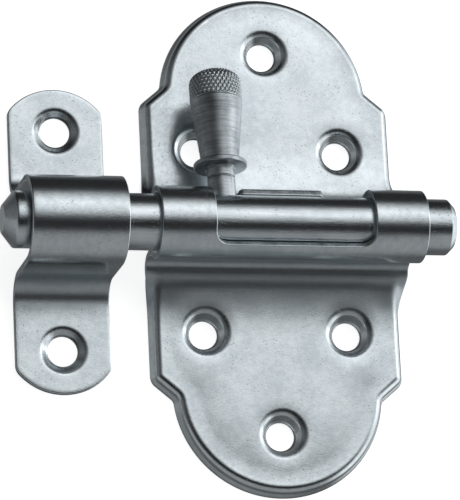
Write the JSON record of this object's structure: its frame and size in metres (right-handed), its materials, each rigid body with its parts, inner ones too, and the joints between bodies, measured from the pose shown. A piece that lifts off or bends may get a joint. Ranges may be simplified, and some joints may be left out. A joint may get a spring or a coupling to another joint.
{
  "type": "toggle bolt latch",
  "caption": "Surface bolt latch: lobed pressed plate with a sleeve, round sliding bolt turned by a knurled knob, and a bridge keeper with rounded ears.",
  "frame": {"origin": "middle of the latch's outline, in the plane of the surface it is screwed to", "axes": "+X along the bolt, from its nose to its tail; +Y along the plate's length, the way the knob points when locked; +Z out of the surface"},
  "size_m": [0.1054, 0.1204, 0.0283],
  "materials": {
    "plate_steel": "bright zinc plate on pressed sheet, satin, lightly mottled",
    "bolt_steel": "bright zinc plate on drawn bar, satin, finely pitted",
    "knob_steel": "turned steel with tool rings and a knurled head",
    "keeper_steel": "bright zinc plate on bent strip, satin"
  },
  "bodies": {
    "plate": {"base_plate": "plate_steel"},
    "slider": {"bolt_nose": "bolt_steel"},
    "bolt": {"bolt_bar": "bolt_steel", "knob_stud": "knob_steel", "knob_grip": "knob_steel"},
    "keeper": {"keeper": "keeper_steel"}
  },
  "joints": [
    {"name": "bolt_slide", "type": "slide", "parent": "plate", "child": "slider", "axis": [1, 0, 0], "range_m": [0, 0.0304]},
    {"name": "knob_turn", "type": "hinge", "parent": "slider", "child": "bolt", "pos_m": [-0.00125, 0, 0.018], "axis": [1, 0, 0], "range_deg": [-8, 114]},
    {"name": "keeper_slide", "type": "slide", "parent": "plate", "child": "keeper", "axis": [-1, 0, 0], "range_m": [-0.007, 0.03]}
  ]
}
